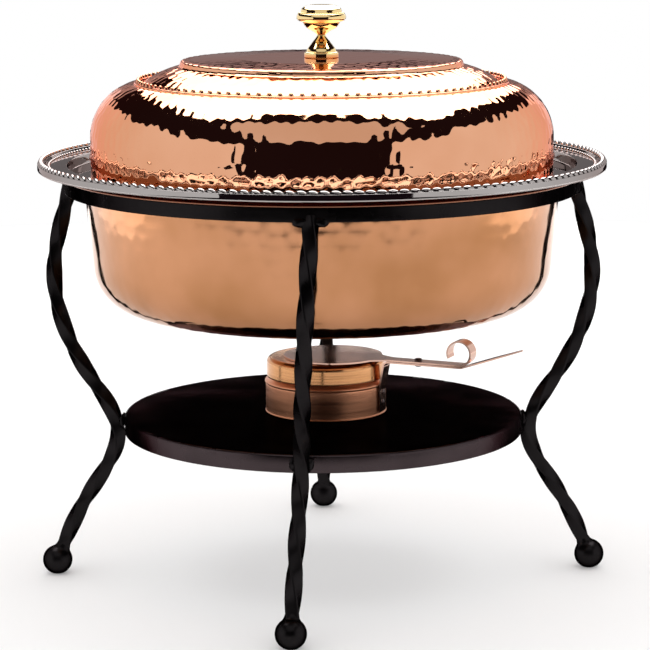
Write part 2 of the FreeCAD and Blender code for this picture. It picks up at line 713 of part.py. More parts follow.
def make_pivot_rivet():
    """Upright rivet on which the snuffer's arm swings; a head above and one below."""
    low = D["cap_top"] - D["strip_thick"]
    high = D["cap_top"] + D["strip_thick"] + D["running_gap"] * 2
    head, flat = D["pivot_head"], D["pivot_head_flat"]
    body = new_body("pivot_rivet")
    revolve(body, [
        (0, low - head), (flat, low - head, head), (D["pivot_head_radius"], low),
        (D["pivot_radius"], low), (D["pivot_radius"], high),
        (D["pivot_head_radius"], high, head), (flat, high + head), (0, high + head)])
    turn = math.radians(D["handle_turn"].value)
    for axis, start, share in (("x", D["burner_x"], math.cos(turn)),
                               ("y", D["burner_y"], math.sin(turn))):
        length = start + D["pivot_reach"] * share
        setattr(body.Placement.Base, axis, length.value)
        body.setExpression(f"Placement.Base.{axis}", length.text)
    body.Placement.Base.z = D["shelf_top"].value
    body.setExpression("Placement.Base.z", D["shelf_top"].text)


def make_snuffer():
    """Flat snuffer disc, necked into an arm whose far end curls up into a thumb loop."""
    thick, low = D["strip_thick"], D["cap_top"] + D["running_gap"]
    half = D["strip_width"] * 0.5
    body = new_body("snuffer")
    disc = circle_sketch(body, "XY_Plane", (D["snuffer_shift"], 0), D["snuffer_radius"], "disc")
    pad_sketch(body, disc, thick, "disc", low)
    pad(body, "XY_Plane", [
        (D["arm_neck"], -half), (D["arm_end"], -half), (D["arm_end"], half),
        (D["arm_neck"], half, -40.0), (D["arm_neck"] - 21, half * 3.4),
        (D["arm_neck"] - 30, half * 3.4), (D["arm_neck"] - 30, half * -3.4),
        (D["arm_neck"] - 21, half * -3.4, -40.0)], thick, "arm", low)
    pad(body, "XZ_Plane", loop_outline(low), D["strip_width"], "loop")
    hole = circle_sketch(body, "XY_Plane", (D["pivot_reach"], 0),
                         D["pivot_radius"] + D["pivot_clearance"], "pivot")
    pocket(body, hole, "pivot")
    stand_at_burner(body)


def loop_outline(low):
    """Side view of the thumb loop: nearly a full circle, open towards the disc."""
    centre, outer = D["loop_centre"], D["loop_radius"]
    inner, middle = outer - D["strip_thick"], low + D["loop_radius"]
    open_turn = math.radians(205)
    cos_open, sin_open = math.cos(open_turn), math.sin(open_turn)
    return [
        (centre - 2, low),
        (centre, low, outer),
        (centre + outer, middle, outer),
        (centre, middle + outer, outer),
        (centre + outer * cos_open, middle + outer * sin_open),
        (centre + inner * cos_open, middle + inner * sin_open, -inner),
        (centre, middle + inner, -inner),
        (centre + inner, middle, -inner),
        (centre, low + D["strip_thick"]),
        (centre - 2, low + D["strip_thick"])]


# ---------------------------------------------------------------- checks and files

def check_document():
    doc.recompute()
    for item in doc.Objects:
        if "Invalid" in item.State or "Error" in item.State:
            raise RuntimeError(f"{item.Label} failed: {item.State}")
    for name, item in nodes.items():
        if item.Shape.isNull() or not item.Shape.isValid() or not item.Shape.Solids:
            raise RuntimeError(f"{name} has no valid solid")


def write_parts():
    os.makedirs("parts", exist_ok=True)
    for name, item in nodes.items():
        item.Shape.exportStep(f"parts/{name}.step")
        box = item.Shape.optimalBoundingBox()
        print(f"{name:24s} {len(item.Shape.Solids)} solid(s) {item.Shape.Volume:10.0f} mm3 "
              f"x {box.XMin:.1f}..{box.XMax:.1f} y {box.YMin:.1f}..{box.YMax:.1f} "
              f"z {box.ZMin:.1f}..{box.ZMax:.1f}")


make_stand()
make_water_pan()
make_food_pan()
half_round("rim_rope_border", D["rim_radius"] - D["rope_inset"] - D["rope_width"] * 0.5,
           D["rope_width"], D["hem_top"], D["rope_crest"])
make_lid()
half_round("lid_bead_ring", D["lid_bead_radius"], D["lid_bead_width"], D["ledge_height"],
           D["lid_bead_crest"])
make_knob()
make_knob_screw()
make_burner_cup()
make_burner_cap()
make_fuel_can()
make_handle_strip()
make_strip_rivets()
make_pivot_rivet()
make_snuffer()
check_document()
write_parts()
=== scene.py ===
"""Copper chafing dish on its iron stand: the detailed pieces, materials, light and camera.

Shapes are worked out in millimetres in the row frame, and build_mesh() turns them into
metres.  Textures, lights and the camera are in metres.  +Z is up, the floor is Z = 0 and the
dish's axis is the Z axis.
"""
import math

import bpy
import numpy as np
from mathutils import Matrix, Vector, kdtree, noise


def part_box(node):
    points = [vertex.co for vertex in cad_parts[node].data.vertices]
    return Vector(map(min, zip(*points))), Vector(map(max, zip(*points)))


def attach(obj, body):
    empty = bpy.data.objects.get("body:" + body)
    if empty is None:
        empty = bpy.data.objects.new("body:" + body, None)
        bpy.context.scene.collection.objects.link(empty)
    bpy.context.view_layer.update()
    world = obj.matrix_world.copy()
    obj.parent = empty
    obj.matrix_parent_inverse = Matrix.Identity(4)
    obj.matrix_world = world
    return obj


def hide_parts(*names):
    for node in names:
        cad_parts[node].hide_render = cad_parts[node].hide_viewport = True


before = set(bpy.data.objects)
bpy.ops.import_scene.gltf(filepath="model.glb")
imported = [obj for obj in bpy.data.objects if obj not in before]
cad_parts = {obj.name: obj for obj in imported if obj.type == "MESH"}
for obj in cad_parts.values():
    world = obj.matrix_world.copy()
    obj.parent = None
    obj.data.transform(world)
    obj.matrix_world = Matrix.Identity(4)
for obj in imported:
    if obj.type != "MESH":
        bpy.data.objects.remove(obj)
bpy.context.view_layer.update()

MM = 0.001
LEG_TURNS = {"right": 0, "back": 90, "left": 180, "front": -90}  # degrees round the Z axis
SHEET = 1.2  # thickness of the pans and the lid
SMOOTH_TURN = 0.25  # radians; an outline that turns less than this at a point isn't rounded there
CORNER_SHARE = 0.45  # most of a run's length that the rounding of a corner may take
SHARP_EDGE = 42  # degrees; steeper edges than this are shaded as sharp
GAP_SIZE = 0.62  # parts of a bead or rope below this share of its full size count as its gap


def low_and_high(node):
    """Lowest and highest corner of a CAD node, in millimetres."""
    return [[value / MM for value in corner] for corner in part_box(node)]


# ---------------------------------------------------------------- outlines

def follow_arc(start, end, radius, step):
    """Points after start up to end; the centre is on the left of the way when radius > 0."""
    chord = end - start
    length = np.linalg.norm(chord)
    left = np.array([-chord[1], chord[0]]) / length
    rise = math.sqrt(max(radius ** 2 - (length / 2) ** 2, 0.0))
    centre = (start + end) / 2 + left * math.copysign(rise, radius)
    first = math.atan2(*(start - centre)[::-1])
    sweep = math.atan2(*(end - centre)[::-1]) - first
    sweep = sweep % (2 * math.pi) if radius > 0 else -((-sweep) % (2 * math.pi))
    count = max(4, math.ceil(abs(sweep * radius) / step))
    turns = first + sweep * np.arange(1, count + 1) / count
    return [centre + abs(radius) * np.array([math.cos(a), math.sin(a)]) for a in turns]


def outline(points, step=4.0, corner=0.4, closed=False):
    """An outline's points: arcs followed, corners rounded, and long runs divided.

    Each point is (radius, height), or (radius, height, arc radius) where an arc leads on to
    the next point.  step is the longest run between points, corner the reach of a rounding.
    """
    plain = [np.array(points[0][:2], float)]
    pairs = list(zip(points, points[1:] + points[:1])) if closed else list(zip(points, points[1:]))
    for here, there in pairs:
        end = np.array(there[:2], float)
        if len(here) == 3:
            plain += follow_arc(plain[-1], end, here[2], step)
        else:
            plain.append(end)
    if closed:
        plain.pop()
    soft = []
    for i, point in enumerate(plain):
        if not closed and i in (0, len(plain) - 1):
            soft.append(point)
            continue
        before, after = plain[i - 1] - point, plain[(i + 1) % len(plain)] - point
        reach_before, reach_after = np.linalg.norm(before), np.linalg.norm(after)
        straight = -np.dot(before, after) / (reach_before * reach_after)
        if straight > math.cos(SMOOTH_TURN):
            soft.append(point)
            continue
        start = point + before / reach_before * min(corner, reach_before * CORNER_SHARE)
        end = point + after / reach_after * min(corner, reach_after * CORNER_SHARE)
        for t in (0.0, 0.25, 0.5, 0.75, 1.0):
            soft.append(start * (1 - t) ** 2 + point * 2 * t * (1 - t) + end * t ** 2)
    fine = []
    for i, point in enumerate(soft):
        fine.append(point)
        if i + 1 == len(soft) and not closed:
            break
        after = soft[(i + 1) % len(soft)]
        parts = math.ceil(np.linalg.norm(after - point) / step)
        fine += [point + (after - point) * k / parts for k in range(1, parts)]
    return np.array(fine)


# ---------------------------------------------------------------- meshes

def build_mesh(name, points, quads, triangles, materials, face_slots=None):
    """A mesh object from points in millimetres."""
    mesh = bpy.data.meshes.new(name)
    quads = np.array(quads, int).reshape(-1, 4)
    triangles = np.array(triangles, int).reshape(-1, 3)
    corners = np.concatenate([quads.ravel(), triangles.ravel()])
    totals = np.concatenate([np.full(len(quads), 4), np.full(len(triangles), 3)])
    mesh.vertices.add(len(points))
    mesh.vertices.foreach_set("co", (np.array(points, float) * MM).ravel())
    mesh.loops.add(len(corners))
    mesh.loops.foreach_set("vertex_index", corners)
    mesh.polygons.add(len(totals))
    mesh.polygons.foreach_set("loop_start", np.cumsum(totals) - totals)
    mesh.polygons.foreach_set("loop_total", totals)
    for material in materials:
        mesh.materials.append(material)
    if face_slots is not None:
        mesh.polygons.foreach_set("material_index", np.array(face_slots, int))
    mesh.update(calc_edges=True)
    mesh.validate()
    mesh.shade_smooth()
    mesh.set_sharp_from_angle(angle=math.radians(SHARP_EDGE))
    piece = bpy.data.objects.new(name, mesh)
    bpy.context.scene.collection.objects.link(piece)
    return piece


def grid_faces(rows, columns, wrap_rows):
    """Quads of a grid whose columns run round; rows also close when wrap_rows is set."""
    row = np.arange(rows if wrap_rows else rows - 1)[:, None]
    column = np.arange(columns)[None, :]
    next_row, next_column = (row + 1) % rows, (column + 1) % columns
    return np.stack([row * columns + column, row * columns + next_column,
                     next_row * columns + next_column, next_row * columns + column],
                    axis=-1).reshape(-1, 4)


def outward(path, closed):
    """Unit normals on the right-hand side of a path, one per point."""
    if closed:
        along = np.roll(path, -1, axis=0) - np.roll(path, 1, axis=0)
    else:
        along = np.gradient(path, axis=0)
    normal = np.stack([along[:, 1], -along[:, 0]], axis=1)
    return normal / np.maximum(np.linalg.norm(normal, axis=1, keepdims=True), 1e-9)


def revolve(path, around):
    """A path's (radius, height) pairs turned round the Z axis: a grid of 3-D points."""
    turns = np.arange(around) * 2 * math.pi / around
    ring = np.stack([np.cos(turns), np.sin(turns)], axis=1)
    grid = np.empty((len(path), around, 3))
    grid[..., :2] = path[:, None, :1] * ring[None]
    grid[..., 2] = path[:, None, 1]
    return grid


def spin(name, outside, inside, around, materials, push=None):
    """Turn an outline round the Z axis.  outside and inside follow each other in one loop.

    The loop is open where it starts and ends on the axis.  push(points) gives how far each
    outside point moves along its normal.  inside takes the second material, if there is one.
    """
    path = np.concatenate([outside, inside]) if len(inside) else outside
    closed = path[0][0] > 1e-6
    points = revolve(path, around)
    if push is not None:
        rows = len(outside)
        depth = push(points[:rows].reshape(-1, 3)).reshape(rows, around, 1)
        points[:rows] += revolve(outward(path, closed)[:rows], around) * depth
    side = np.where(np.arange(len(path)) < len(outside), 0, 1)
    if closed:
        faces = grid_faces(len(path), around, True)
        return build_mesh(name, points.reshape(-1, 3), faces, [], materials,
                          np.repeat(side, around) if len(materials) > 1 else None)
    body = points[1:-1].reshape(-1, 3)
    faces = grid_faces(len(path) - 2, around, False)
    first, last = len(body), len(body) + 1
    column = np.arange(around)
    top_row = (len(path) - 3) * around
    start_fan = np.stack([np.full(around, first), (column + 1) % around, column], axis=1)
    end_fan = np.stack([np.full(around, last), top_row + column,
                        top_row + (column + 1) % around], axis=1)
    both_ends = [[0, 0, path[0][1]], [0, 0, path[-1][1]]]
    slots = np.concatenate([np.repeat(side[1:-2], around), np.zeros(around),
                            np.full(around, side[-1])])
    return build_mesh(name, np.concatenate([body, both_ends]), faces,
                      np.concatenate([start_fan, end_fan]), materials,
                      slots if len(materials) > 1 else None)


def ring_of_sections(name, around, rows, place, materials):
    """A closed ring whose section changes on the way round.

    place(turn, share) gives (radius, height, size) arrays; share runs from 0 to 1 over the
    section.  size is the pattern's share of its full size; in its gaps, where size is below
    GAP_SIZE, faces take the second material, a darker copy of the first: painted shade in the
    gaps.
    """
    turn, share = np.meshgrid(np.arange(around) * 2 * math.pi / around,
                              np.arange(rows) / (rows - 1))
    radius, height, size = place(turn, share)
    points = np.stack([radius * np.cos(turn), radius * np.sin(turn), height], axis=-1)
    gaps = np.minimum(size, np.roll(size, -1, axis=1)) < GAP_SIZE
    return build_mesh(name, points.reshape(-1, 3), grid_faces(rows, around, True), [],
                      materials, gaps.ravel().astype(int))


def finished(piece, body, slot, *nodes):
    """Give a piece its body and hide the CAD nodes that it stands for; slot is not used."""
    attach(piece, body)
    if nodes:
        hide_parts(*nodes)
    return piece


# ---------------------------------------------------------------- hammering

ROW_PITCH = 0.92  # spacing of the rows of marks, as a share of the spacing within a row
STRAY = 0.14  # spread of a mark's place round its regular one, as a share of the spacing
UNEVEN = 0.175  # most that a mark is deeper or shallower than the rest, as a share of its depth
DENT_REACH = 0.55  # distance from a mark's middle to its edge, as a share of the spacing
SINK = 1.1  # marks' depth below the outline, as a share of their own: ridges stay inside it
NEAREST = 3  # marks that can shape one point


def dent_centres(path, pitch, seed):
    """Places of the hammer marks over a surface turned from this path, row by row.

    Each is (x, y, z, how much shallower it is than the rest).
    """
    random = np.random.default_rng(seed)
    steps = np.linalg.norm(np.diff(path, axis=0), axis=1)
    along = np.concatenate([[0], np.cumsum(steps)])
    centres = []
    for row, reach in enumerate(np.arange(pitch * 0.5, along[-1], pitch * ROW_PITCH)):
        radius = np.interp(reach, along, path[:, 0])
        count = max(1, round(2 * math.pi * radius / pitch))
        for k in range(count):
            shift = random.normal(0, STRAY, 2)
            turn = (k + 0.5 * (row % 2) + shift[0]) / count * 2 * math.pi
            there = reach + shift[1] * pitch
            r, z = np.interp(there, along, path[:, 0]), np.interp(there, along, path[:, 1])
            centres.append((r * math.cos(turn), r * math.sin(turn), z,
                            random.uniform(-UNEVEN, UNEVEN)))
    return centres


def hammering(path, pitch, slope, seed, share):
    """push() for spin(): shallow round dents that meet in low ridges, always inwards.

    slope is the steepness that a dent reaches at its edge, and share(points) weakens it.
    """
    centres = dent_centres(path, pitch, seed)
    tree = kdtree.KDTree(len(centres))
    for i, centre in enumerate(centres):
        tree.insert(centre[:3], i)
    tree.balance()
    edge = pitch * DENT_REACH
    curve = slope / (2 * edge)
    deepest = curve * edge ** 2

    def push(points):
        depth = np.empty(len(points))
        for i, point in enumerate(points):
            depth[i] = min(curve * distance ** 2 + centres[mark][3] * deepest
                           for _, mark, distance in tree.find_n(point, NEAREST))
        return np.minimum(depth - deepest * SINK, 0.0) * share(points)

    return push


# ---------------------------------------------------------------- materials

NOISE_RANGE = (0.35, 0.65)  # where nearly all of a noise texture's values lie


def new_material(name, **sockets):
    """A Principled material; sockets are given by name with _ for a space."""
    material = bpy.data.materials.new(name)
    material.use_nodes = True
    shader = material.node_tree.nodes["Principled BSDF"]
    for socket, value in sockets.items():
        shader.inputs[socket.replace("_", " ")].default_value = value
    return material, material.node_tree, shader


def noise_value(tree, scale_xyz=(1, 1, 1), **settings):
    """A noise texture's value in the piece's own coordinates (metres), scaled by scale_xyz."""
    place = tree.nodes.new("ShaderNodeTexCoord")
    stretch = tree.nodes.new("ShaderNodeMapping")
    stretch.inputs["Scale"].default_value = scale_xyz
    node = tree.nodes.new("ShaderNodeTexNoise")
    tree.links.new(place.outputs["Object"], stretch.inputs["Vector"])
    tree.links.new(stretch.outputs["Vector"], node.inputs["Vector"])
    for socket, value in settings.items():
        node.inputs[socket].default_value = value
    return node.outputs["Fac"]


def between(tree, value, low, high):
    """A number that goes from low to high as a noise value goes over its usual range."""
    node = tree.nodes.new("ShaderNodeMapRange")
    node.inputs["From Min"].default_value = NOISE_RANGE[0]
    node.inputs["From Max"].default_value = NOISE_RANGE[1]
    node.inputs["To Min"].default_value = low
    node.inputs["To Max"].default_value = high
    tree.links.new(value, node.inputs["Value"])
    return node.outputs["Result"]


def two_colours(tree, value, *colours):
    """A colour that goes from the first to the second over a noise value's usual range."""
    ramp = tree.nodes.new("ShaderNodeValToRGB")
    for stop, position, colour in zip(ramp.color_ramp.elements, NOISE_RANGE, colours):
        stop.position, stop.color = position, (*colour, 1)
    tree.links.new(value, ramp.inputs["Fac"])
    return ramp.outputs["Color"]


def add_bump(tree, shader, height, strength, distance):
    """Relief from a noise value, distance metres deep, on top of any relief already there."""
    bump = tree.nodes.new("ShaderNodeBump")
    bump.inputs["Strength"].default_value = strength
    bump.inputs["Distance"].default_value = distance
    tree.links.new(height, bump.inputs["Height"])
    previous = shader.inputs["Normal"]
    if previous.is_linked:
        tree.links.new(previous.links[0].from_socket, bump.inputs["Normal"])
    tree.links.new(bump.outputs["Normal"], shader.inputs["Normal"])


def polished_metal(name, first, second, rough, fine_height, streak=(1, 1, 1), edge=(1, 1, 1)):
    """Polished sheet metal: slow colour drift, uneven polish, and very fine scratches.

    rough is (lowest, highest) roughness, fine_height the depth of the scratches in metres and
    streak their stretch.  edge tints what the metal mirrors at a flat angle.
    """
    material, tree, shader = new_material(name, Metallic=1.0)
    shader.inputs["Specular Tint"].default_value = (*edge, 1)
    drift = noise_value(tree, Scale=14.0, Detail=3.0)
    tree.links.new(two_colours(tree, drift, first, second), shader.inputs["Base Color"])
    polish = noise_value(tree, streak, Scale=60.0, Detail=4.0)
    tree.links.new(between(tree, polish, *rough), shader.inputs["Roughness"])
    scratches = noise_value(tree, streak, Scale=420.0, Detail=5.0)
    add_bump(tree, shader, scratches, 0.25, fine_height)
    return material


def turned_metal(name, first, second, rough, line_height, lines):
    """Metal with the fine rings that a lathe or a spinning tool leaves across its height."""
    material, tree, shader = new_material(name, Metallic=1.0)
    drift = noise_value(tree, (1, 1, 12), Scale=30.0, Detail=4.0)
    tree.links.new(two_colours(tree, drift, first, second), shader.inputs["Base Color"])
    rings = noise_value(tree, (0.02, 0.02, 1), Scale=lines, Detail=3.0)
    tree.links.new(between(tree, rings, *rough), shader.inputs["Roughness"])
    add_bump(tree, shader, rings, 0.5, line_height)
    return material


def blackened(name, colour, rough, lump_height, lump_scale=150.0):
    """Satin black finish over hand-worked iron, dull at a flat angle too."""
    material, tree, shader = new_material(name, Metallic=1.0)
    shader.inputs["Specular Tint"].default_value = (0.12, 0.11, 0.11, 1)
    drift = noise_value(tree, Scale=25.0, Detail=3.0)
    lighter = tuple(c * 1.4 for c in colour)
    tree.links.new(two_colours(tree, drift, colour, lighter), shader.inputs["Base Color"])
    tree.links.new(between(tree, drift, *rough), shader.inputs["Roughness"])
    lumps = noise_value(tree, Scale=lump_scale, Detail=2.0)
    add_bump(tree, shader, lumps, 0.5, lump_height)
    grain = noise_value(tree, Scale=1400.0, Detail=2.0)
    add_bump(tree, shader, grain, 0.25, lump_height * 0.1)
    return material


LID_COPPER = polished_metal("LidCopper", (0.71, 0.345, 0.195), (0.78, 0.405, 0.245),
                            (0.022, 0.045), 0.000008, edge=(1.0, 0.60, 0.53))
PAN_COPPER = polished_metal("PanCopper", (0.41, 0.185, 0.080), (0.54, 0.255, 0.130),
                            (0.06, 0.11), 0.00002, (1, 1, 0.25))
# darker copy of the pan's copper for its rolled edge, flange top and inside: painted shade under
# the food pan's flange
SHADED_EDGE_COPPER = polished_metal("ShadedEdgeCopper", (0.24, 0.10, 0.06), (0.32, 0.145, 0.09),
                             (0.10, 0.18), 0.00002)
# dark red-brown copy of the copper for the food pan's outside: painted shade under its flange and
# hem
SHADED_UNDER_COPPER = polished_metal("ShadedUnderCopper", (0.15, 0.035, 0.02), (0.20, 0.055, 0.032),
                              (0.08, 0.16), 0.00002)
NICKEL = polished_metal("Nickel", (0.36, 0.335, 0.325), (0.42, 0.395, 0.385),
                        (0.02, 0.05), 0.00001, edge=(0.60, 0.53, 0.52))
# near-black copy of the nickel for the gaps of the rope and the bead row: painted shade between
# lobes and beads
NICKEL_GAP_SHADE = polished_metal("NickelGapShade", (0.02, 0.018, 0.018), (0.05, 0.045, 0.045),
                             (0.2, 0.35), 0.00002)
# dark copy of the copper for the gaps between the lid's pearls: painted shade
COPPER_GAP_SHADE = polished_metal("CopperGapShade", (0.10, 0.025, 0.015), (0.20, 0.06, 0.035),
                             (0.2, 0.35), 0.00002)
# dark copy of the brass for the gaps of the knurled ring: painted shade
BRASS_GAP_SHADE = polished_metal("BrassGapShade", (0.10, 0.06, 0.015), (0.18, 0.11, 0.03),
                            (0.2, 0.35), 0.00002)
TIN_LINING = polished_metal("TinLining", (0.60, 0.59, 0.58), (0.70, 0.69, 0.68),
                            (0.18, 0.30), 0.00003)
BRASS = polished_metal("Brass", (0.86, 0.62, 0.26), (0.92, 0.70, 0.34), (0.03, 0.06), 0.00001)
BURNER_COPPER = turned_metal("BurnerCopper", (0.58, 0.285, 0.12), (0.64, 0.32, 0.145),
                             (0.12, 0.24), 0.00004, 900.0)
CUP_COPPER = turned_metal("CupCopper", (0.62, 0.27, 0.15), (0.70, 0.32, 0.18), (0.28, 0.42),
                          0.00004, 900.0)
STRIP_COPPER = polished_metal("StripCopper", (0.60, 0.36, 0.27), (0.68, 0.43, 0.34),
                              (0.10, 0.2), 0.00003, (0.3, 0.3, 1))
TINPLATE = turned_metal("Tinplate", (0.52, 0.52, 0.53), (0.64, 0.64, 0.64), (0.2, 0.34),
                        0.00003, 500.0)
BLACK_IRON = blackened("BlackIron", (0.014, 0.0125, 0.013), (0.26, 0.42), 0.0003)
BLACK_SHELF = blackened("BlackShelf", (0.045, 0.034, 0.036), (0.20, 0.30), 0.00006, 60.0)
DARK_RIVET = polished_metal("DarkRivet", (0.05, 0.035, 0.035), (0.10, 0.07, 0.07),
                            (0.25, 0.4), 0.00003)


def refinish(node, material, bevel):
    """Keep a CAD node's shape: give it a material and slightly broken edges."""
    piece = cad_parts[node]
    piece.data.materials.clear()
    piece.data.materials.append(material)
    edge = piece.modifiers.new("Edges", "BEVEL")
    edge.width, edge.segments = bevel * MM, 2
    edge.limit_method, edge.angle_limit = "ANGLE", math.radians(35)
    edge.use_clamp_overlap = True


# ---------------------------------------------------------------- stand

BALL_RADIUS, BALL_HEIGHT, FOOT_RADIUS = 11.2, 10.2, 202.0
# (radius, height) of the places that a leg's middle line passes through, from ring to foot
LEG_STATIONS = [(186.8, 297.4), (195.9, 264.0), (200.7, 236.0), (177.0, 154.0),
                (154.7, 108.0), (177.5, 61.0), (FOOT_RADIUS, BALL_HEIGHT)]
LEG_BAR, LEG_CORNER = 9.6, 1.5  # side and corner radius of the square bar
LEG_QUARTER_TWIST, LEG_FIRST_CORNER = 35.0, 33.9  # along the leg, from its top end
LEG_STEP = 1.2  # spacing of the sections along a leg
LEG_WEAR_SCALE, LEG_WEAR = 0.11, 0.0275  # unevenness: waves per millimetre, share of the bar
NECK_SECTION = -8  # the leg's section, counted from its end, that gives the ball's tilt
LEANS = {"right": 15.0, "back": 8.3, "left": 12.0, "front": -14.5}  # of each foot, sideways
RING_LOW, RING_TOP = (corner[2] for corner in low_and_high("ring_hoop"))
RING_BAR = 4.0  # thickness of the flat bar
SHELF_PLATE, SHELF_ROUND = 1.6, 2.5  # the shelf's thickness and the radius of its edge


def lean_at(side, height):
    """How far a hand-bent leg stands to one side: none at the ring, all of it at the foot."""
    return LEANS[side] * (RING_LOW - height) / (RING_LOW - BALL_HEIGHT)


def spline_through(stations, spacing):
    """Points along a natural cubic spline through the stations, and its directions."""
    knots = np.array(stations, float)
    t = np.concatenate([[0], np.cumsum(np.linalg.norm(np.diff(knots, axis=0), axis=1))])
    h, count = np.diff(t), len(t)
    system, right = np.eye(count), np.zeros((count, 2))
    for i in range(1, count - 1):
        system[i, i - 1:i + 2] = h[i - 1], 2 * (h[i - 1] + h[i]), h[i]
        right[i] = 6 * ((knots[i + 1] - knots[i]) / h[i] - (knots[i] - knots[i - 1]) / h[i - 1])
    bend = np.linalg.solve(system, right)
    points = []
    for s in np.linspace(0, t[-1], round(t[-1] / spacing) + 1):
        i = min(np.searchsorted(t, s, side="right") - 1, count - 2)
        a, b = (t[i + 1] - s) / h[i], (s - t[i]) / h[i]
        points.append(a * knots[i] + b * knots[i + 1] + ((a ** 3 - a) * bend[i]
                      + (b ** 3 - b) * bend[i + 1]) * h[i] ** 2 / 6)
    points = np.array(points)
    along = np.gradient(points, axis=0)
    return points, along / np.linalg.norm(along, axis=1, keepdims=True)


def rounded_square(half, corner, per_corner):
    """Points round a square with rounded corners; its first corner points along +X."""
    points = []
    for k in range(4):
        middle = math.pi / 2 * k
        centre = (half - corner) * math.sqrt(2)
        for j in range(per_corner):
            a = middle + math.pi / 2 * (j / (per_corner - 1) - 0.5)
            points.append((centre * math.cos(middle) + corner * math.cos(a),
                           centre * math.sin(middle) + corner * math.sin(a)))
    return np.array(points)


def make_leg(side, turn):
    """One twisted bar, hand-forged, from inside the ring down into its ball."""
    path, along = spline_through(LEG_STATIONS, LEG_STEP)
    down = np.concatenate([[0], np.cumsum(np.linalg.norm(np.diff(path, axis=0), axis=1))])
    section = rounded_square(LEG_BAR / 2, LEG_CORNER, 5)
    sideways = np.array([0, 1, 0])
    rows = []
    for (radius, height), (dr, dz), s in zip(path, along, down):
        twist = math.pi / 2 * (s - LEG_FIRST_CORNER) / LEG_QUARTER_TWIST
        out = np.array([-dz, 0, dr])
        c, d = math.cos(twist), math.sin(twist)
        middle = np.array([radius, 0, height])
        for u, v in section:
            reach = out * (u * c - v * d) + sideways * (u * d + v * c)
            uneven = noise.noise(Vector((middle + reach) * LEG_WEAR_SCALE)
                                 + Vector((0, 0, turn)))
            point = middle + reach * (1 + uneven * LEG_WEAR)
            rows.append(point + sideways * lean_at(side, point[2]))
    points = turned(np.array(rows), turn)
    count = len(section)
    faces = grid_faces(len(path), count, False)
    column = np.arange(count)
    after = (column + 1) % count
    bottom = (len(path) - 1) * count
    ends = [points[:count].mean(axis=0), points[bottom:].mean(axis=0)]
    first, last = np.full(count, len(points)), np.full(count, len(points) + 1)
    caps = np.concatenate([np.stack([first, after, column], axis=1),
                           np.stack([last, bottom + column, bottom + after], axis=1)])
    points = np.concatenate([points, ends])
    piece = build_mesh(f"twisted_leg_{side}", points, faces, caps, [BLACK_IRON])
    return finished(piece, "stand", "black_iron", f"leg_{side}")


def turned(points, degrees):
    """Points turned about the Z axis."""
    a = math.radians(degrees)
    matrix = np.array([[math.cos(a), -math.sin(a), 0], [math.sin(a), math.cos(a), 0], [0, 0, 1]])
    return points @ matrix.T


def make_ball(side, turn):
    """Ball foot with a small neck where the leg runs into it, flat on the floor."""
    up = -spline_through(LEG_STATIONS, LEG_STEP)[1][NECK_SECTION]
    neck_start = math.radians(52)
    ball = [(BALL_RADIUS * math.cos(a), BALL_RADIUS * math.sin(a))
            for a in np.linspace(-math.pi / 2, neck_start, 30)]
    ball[0] = (0, -BALL_RADIUS)  # exactly on the axis
    neck = [(6.2, 9.7), (5.5, 10.9), (5.2, 12.2), (4.9, 13.4), (0, 13.8)]
    piece = spin(f"ball_{side}", np.array(ball + neck), [], 40, [BLACK_IRON])
    lean = LEANS[side]
    axis = Vector((up[0], -lean / (RING_LOW - BALL_HEIGHT) * up[1], up[1]))
    tilt = Vector((0, 0, 1)).rotation_difference(axis).to_matrix().to_4x4()
    place = (Matrix.Rotation(math.radians(turn), 4, "Z")
             @ Matrix.Translation(Vector((FOOT_RADIUS, lean, BALL_HEIGHT)) * MM) @ tilt)
    piece.data.transform(place)
    sole, wear_scale, deepest_wear = 1 * MM, 90, 0.2 * MM
    for vertex in piece.data.vertices:
        vertex.co.z = max(vertex.co.z, 0.0)
        if vertex.co.z > sole:
            vertex.co.z -= abs(noise.noise(vertex.co * wear_scale) * deepest_wear)
    return finished(piece, "stand", "black_iron", f"ball_foot_{side}")


def make_stand():
    """Ring, shelf, legs, feet and welds."""
    outer = low_and_high("ring_hoop")[1][0]
    hoop = outline([(outer - RING_BAR, RING_LOW), (outer, RING_LOW), (outer, RING_TOP),
                    (outer - RING_BAR, RING_TOP)], 3.0, 0.7, closed=True)
    finished(spin("support_ring", hoop, [], 220, [BLACK_IRON]), "stand", "black_iron",
             "ring_hoop")
    low, high = low_and_high("shelf_plate")
    edge, top, skirt = high[0], high[2], low[2]
    inner, under = edge - SHELF_PLATE, top - SHELF_PLATE
    outside = outline([(inner, skirt), (edge, skirt), (edge, top - SHELF_ROUND, SHELF_ROUND),
                       (edge - SHELF_ROUND, top), (0, top)], 6.0, 0.4)
    inside = outline([(0, under), (inner, under), (inner, skirt)], 6.0, 0.3)
    path = np.concatenate([inside[:-1], outside])
    finished(spin("shelf_tray", path, [], 200, [BLACK_SHELF]), "stand", "black_iron",
             "shelf_plate")
    for side, turn in LEG_TURNS.items():
        make_leg(side, turn)
        make_ball(side, turn)
    make_welds("ring_weld_beads", "ring_welds", 188.7, RING_LOW, (3.4, 6.2, 3.6), 6.4)
    make_welds("shelf_weld_beads", "shelf_welds", 150.6, 117.4, (2.4, 3.2, 4.6), 5.6)


